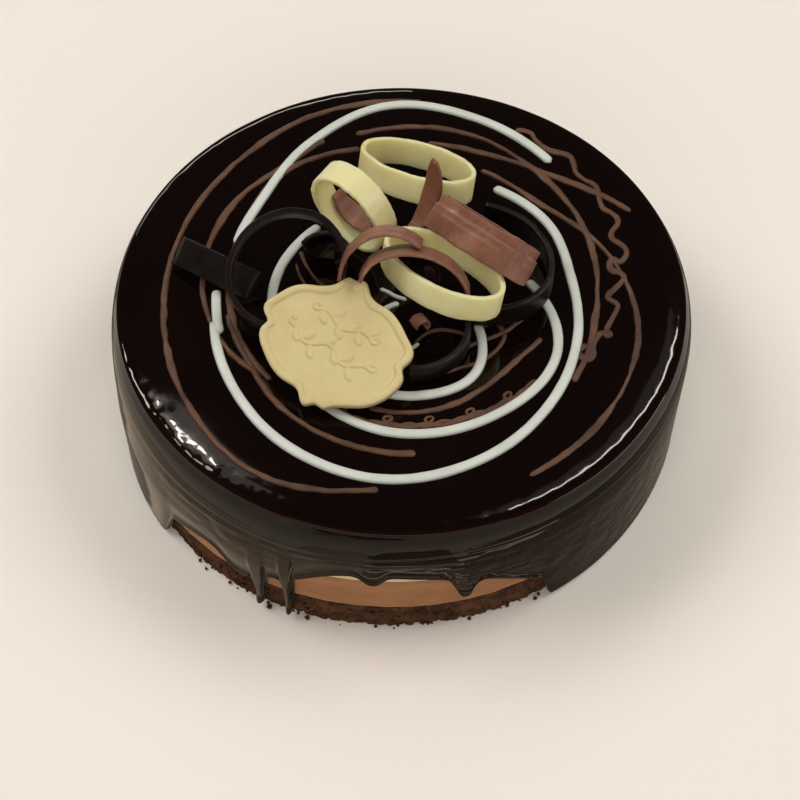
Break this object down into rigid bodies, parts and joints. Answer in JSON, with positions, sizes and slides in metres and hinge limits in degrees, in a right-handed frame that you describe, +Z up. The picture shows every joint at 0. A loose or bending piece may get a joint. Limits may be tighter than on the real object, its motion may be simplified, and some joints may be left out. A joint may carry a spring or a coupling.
{
  "type": "layer cake",
  "caption": "Round chocolate mousse cake on a cocoa sponge base, with a dripping dark mirror glaze, piped swirls, chocolate rings, curls and a blank white chocolate plaque.",
  "frame": {"origin": "centre of the whole's footprint, on the table plane under the sponge", "axes": "+Z up; -Y is the front, where the glaze edge is open and shows the layers; +X to the right"},
  "size_m": [0.205, 0.2042, 0.0999],
  "materials": {
    "cocoa_sponge": "porous baked crumb, food",
    "milk_mousse": "matte mousse, food",
    "white_mousse": "matte mousse, food",
    "dark_mirror_glaze": "very glossy poured glaze, food",
    "white_chocolate": "satin chocolate, food",
    "milk_chocolate": "satin chocolate, food",
    "dark_chocolate": "satin chocolate, food"
  },
  "bodies": {
    "root": {"sponge_base": "cocoa_sponge", "milk_mousse": "milk_mousse", "white_mousse": "white_mousse", "mirror_glaze": "dark_mirror_glaze", "white_ring_back": "white_chocolate", "white_ring_left": "white_chocolate", "white_ring_centre": "white_chocolate", "white_plaque": "white_chocolate", "dark_ring_left": "dark_chocolate", "dark_ring_right": "dark_chocolate", "dark_ring_front": "dark_chocolate", "dark_curl_left": "dark_chocolate", "dark_curl_inner": "dark_chocolate", "milk_curl_broad": "milk_chocolate", "milk_arch_left": "milk_chocolate", "milk_arch_right": "milk_chocolate", "milk_shard": "milk_chocolate", "milk_curl_left": "milk_chocolate", "milk_chip": "milk_chocolate"}
  },
  "joints": []
}
